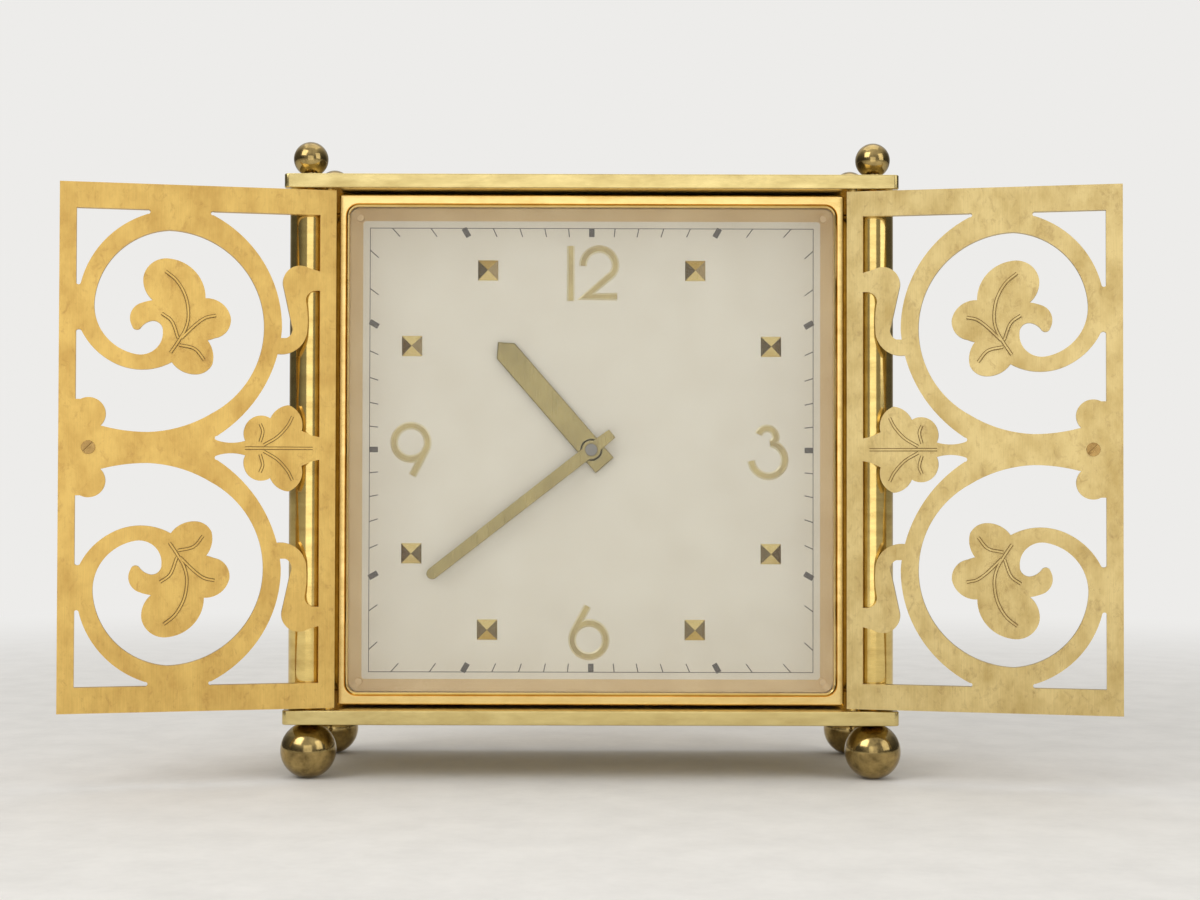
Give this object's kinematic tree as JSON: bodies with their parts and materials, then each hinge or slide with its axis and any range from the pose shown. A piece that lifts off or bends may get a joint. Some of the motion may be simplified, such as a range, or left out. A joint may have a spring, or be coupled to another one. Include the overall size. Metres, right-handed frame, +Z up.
{
  "type": "desk clock",
  "caption": "Square desk clock on ball feet, with two pierced scroll doors that open beside a square dial, and a wound movement behind it.",
  "frame": {"origin": "on the table under the middle of the clock's whole outline with its doors open", "axes": "+Z up, the dial faces -Y, +X to the viewer's right"},
  "size_m": [0.2024, 0.065, 0.1254],
  "materials": {
    "plate_brass": "polished",
    "ball_brass": "polished, dark",
    "door_brass": "brushed",
    "knob_brass": "polished",
    "case_brass": "satin",
    "bezel_brass": "polished",
    "surround_tan": "matt lacquer",
    "dial_silver": "silvered, brushed",
    "numeral_brass": "satin, champagne",
    "marker_brass": "polished",
    "hand_brass": "satin",
    "glass": "clear",
    "steel": "polished",
    "spring_steel": "blued",
    "movement_brass": "satin"
  },
  "bodies": {
    "stand": {"bottom_plate": "plate_brass", "top_plate": "plate_brass", "column_front_left": "plate_brass", "column_front_right": "plate_brass", "column_rear_left": "plate_brass", "column_rear_right": "plate_brass", "ball_feet": "ball_brass", "ball_finials": "ball_brass", "hinge_pins": "steel", "case_body": "case_brass", "case_spacers": "case_brass", "case_screws": "steel", "bezel": "bezel_brass", "glass": "glass", "dial_surround": "surround_tan", "surround_screws": "steel", "dial": "dial_silver", "numerals": "numeral_brass", "hour_markers": "marker_brass", "rear_cover": "case_brass", "cover_screws": "steel", "movement_front_plate": "movement_brass", "movement_back_plate": "movement_brass", "movement_pillars": "movement_brass", "movement_screws": "steel", "balance_cock": "movement_brass", "click_spring": "spring_steel"},
    "left_leaf": {"left_door": "door_brass", "left_knob": "knob_brass", "left_knob_screw": "steel"},
    "right_leaf": {"right_door": "door_brass", "right_knob": "knob_brass", "right_knob_screw": "steel"},
    "minute_body": {"minute_hand": "hand_brass", "cannon_pinion": "steel"},
    "hour_body": {"hour_hand": "hand_brass", "hour_wheel": "movement_brass"},
    "minute_wheel_body": {"minute_wheel": "movement_brass"},
    "setting_body": {"setting_arbor": "steel", "setting_knob": "movement_brass"},
    "third_body": {"third_wheel": "movement_brass"},
    "centre_body": {"centre_wheel": "movement_brass"},
    "intermediate_body": {"intermediate_wheel": "movement_brass"},
    "barrel_body": {"barrel": "movement_brass", "barrel_cover": "movement_brass", "mainspring": "spring_steel"},
    "fourth_body": {"fourth_wheel": "movement_brass"},
    "escape_body": {"escape_wheel": "steel"},
    "winding_body": {"barrel_arbor": "steel", "ratchet_wheel": "steel", "winding_key": "steel"},
    "click_body": {"click": "steel"},
    "fork_body": {"pallet_fork": "steel"},
    "balance_body": {"balance_wheel": "movement_brass", "hairspring": "spring_steel"},
    "regulator_body": {"regulator_lever": "steel"}
  },
  "joints": [
    {"name": "left_door_hinge", "type": "hinge", "parent": "stand", "child": "left_leaf", "pos_m": [-0.0512, -0.02125, 0.06467], "axis": [0, 0, 1], "range_deg": [0, 167.61]},
    {"name": "right_door_hinge", "type": "hinge", "parent": "stand", "child": "right_leaf", "pos_m": [0.0512, -0.02125, 0.06467], "axis": [0, 0, -1], "range_deg": [0, 167.61]},
    {"name": "minute_hand_arbor", "type": "hinge", "parent": "stand", "child": "minute_body", "pos_m": [0, 0, 0.06467], "axis": [0, 1, 0], "continuous": true},
    {"name": "hour_hand_pipe", "type": "hinge", "parent": "stand", "child": "hour_body", "pos_m": [0, 0, 0.06467], "axis": [0, 1, 0], "continuous": true},
    {"name": "minute_wheel_stud", "type": "hinge", "parent": "stand", "child": "minute_wheel_body", "pos_m": [0, 0, 0.05667], "axis": [0, 1, 0], "continuous": true},
    {"name": "setting_arbor_turn", "type": "hinge", "parent": "stand", "child": "setting_body", "pos_m": [0.00693, 0, 0.05267], "axis": [0, 1, 0], "continuous": true},
    {"name": "third_arbor", "type": "hinge", "parent": "stand", "child": "third_body", "pos_m": [0.01125, 0, 0.06876], "axis": [0, 1, 0], "continuous": true},
    {"name": "centre_arbor", "type": "hinge", "parent": "stand", "child": "centre_body", "pos_m": [0, 0, 0.06467], "axis": [0, 1, 0], "continuous": true},
    {"name": "intermediate_arbor", "type": "hinge", "parent": "stand", "child": "intermediate_body", "pos_m": [-0.01081, 0, 0.0571], "axis": [0, 1, 0], "continuous": true},
    {"name": "barrel_turn", "type": "hinge", "parent": "stand", "child": "barrel_body", "pos_m": [-0.02045, 0, 0.07086], "axis": [0, 1, 0], "continuous": true},
    {"name": "fourth_arbor", "type": "hinge", "parent": "stand", "child": "fourth_body", "pos_m": [0.01284, 0, 0.0778], "axis": [0, 1, 0], "continuous": true},
    {"name": "escape_arbor", "type": "hinge", "parent": "stand", "child": "escape_body", "pos_m": [0.00652, 0, 0.0831], "axis": [0, 1, 0], "continuous": true},
    {"name": "winding_arbor", "type": "hinge", "parent": "stand", "child": "winding_body", "pos_m": [-0.02045, 0, 0.07086], "axis": [0, 1, 0], "continuous": true},
    {"name": "click_pivot", "type": "hinge", "parent": "stand", "child": "click_body", "pos_m": [-0.02336, 0, 0.06287], "axis": [0, -1, 0], "range_deg": [0, 8]},
    {"name": "pallet_fork_arbor", "type": "hinge", "parent": "stand", "child": "fork_body", "pos_m": [0.00962, 0, 0.08847], "axis": [0, 1, 0], "range_deg": [-5, 5]},
    {"name": "balance_staff", "type": "hinge", "parent": "stand", "child": "balance_body", "pos_m": [0.00269, 0, 0.09247], "axis": [0, 1, 0], "range_deg": [-270, 270]},
    {"name": "regulator_pivot", "type": "hinge", "parent": "stand", "child": "regulator_body", "pos_m": [0.00269, 0, 0.09247], "axis": [0, 1, 0], "range_deg": [-15, 15]}
  ],
  "couplings": [
    {"joint": "hour_hand_pipe", "follows": "minute_hand_arbor", "ratio": 0.083333},
    {"joint": "minute_wheel_stud", "follows": "minute_hand_arbor", "ratio": -0.33333},
    {"joint": "setting_arbor_turn", "follows": "minute_hand_arbor", "ratio": 1},
    {"joint": "centre_arbor", "follows": "third_arbor", "ratio": -0.125},
    {"joint": "intermediate_arbor", "follows": "third_arbor", "ratio": 0.025},
    {"joint": "barrel_turn", "follows": "third_arbor", "ratio": -0.0041667},
    {"joint": "fourth_arbor", "follows": "third_arbor", "ratio": -7.5},
    {"joint": "escape_arbor", "follows": "third_arbor", "ratio": 75}
  ]
}
